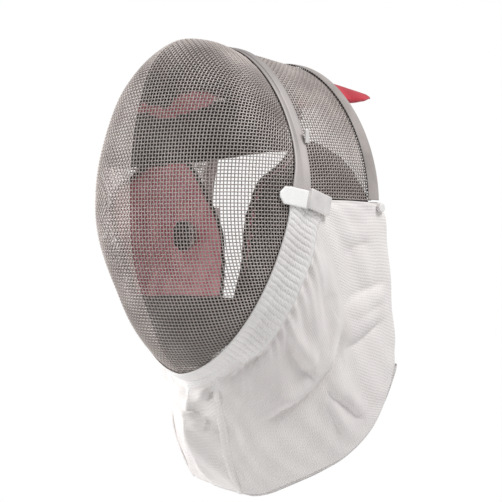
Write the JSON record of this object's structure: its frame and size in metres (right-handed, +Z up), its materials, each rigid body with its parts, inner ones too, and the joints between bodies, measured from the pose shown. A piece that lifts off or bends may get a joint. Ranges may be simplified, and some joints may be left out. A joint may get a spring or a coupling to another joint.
{
  "type": "fencing mask",
  "caption": "Fencing mask with a woven wire dome over the face, a metal frame band, a wire back, inner padding and a padded cloth bib.",
  "frame": {"origin": "the seat of the wearer's head, in the hollow just under the crown padding", "axes": "+Z up, the face looks along -Y, +X is the wearer's left"},
  "size_m": [0.2262, 0.3124, 0.4031],
  "materials": {
    "wire": "woven steel wire, dull",
    "frame_metal": "satin",
    "clip_metal": "smooth",
    "rim_binding": "plain coated binding",
    "bib_cloth": "fine ribbed cotton",
    "white_tape": "ribbed tape",
    "dark_cloth": "matt",
    "pad_cloth": "brushed fleece",
    "red_cloth": "brushed fleece"
  },
  "bodies": {
    "root": {"front_mesh": "wire", "rear_mesh": "wire", "frame_band": "frame_metal", "rear_rim": "rim_binding", "bib_front_panel": "bib_cloth", "bib_side_panel_left": "bib_cloth", "bib_side_panel_right": "bib_cloth", "seam_tape_left": "white_tape", "seam_tape_right": "white_tape", "bib_tape": "white_tape", "forehead_pad": "dark_cloth", "chin_pad": "dark_cloth", "crown_pad": "pad_cloth", "side_pad_left": "pad_cloth", "side_pad_right": "pad_cloth", "back_tongue": "red_cloth", "tape_tab_left": "white_tape", "tape_tab_right": "white_tape", "clip_left": "clip_metal", "clip_right": "clip_metal", "band_rivet_left": "clip_metal", "band_rivet_right": "clip_metal", "rear_loop_left": "white_tape", "rear_loop_right": "white_tape"}
  },
  "joints": []
}
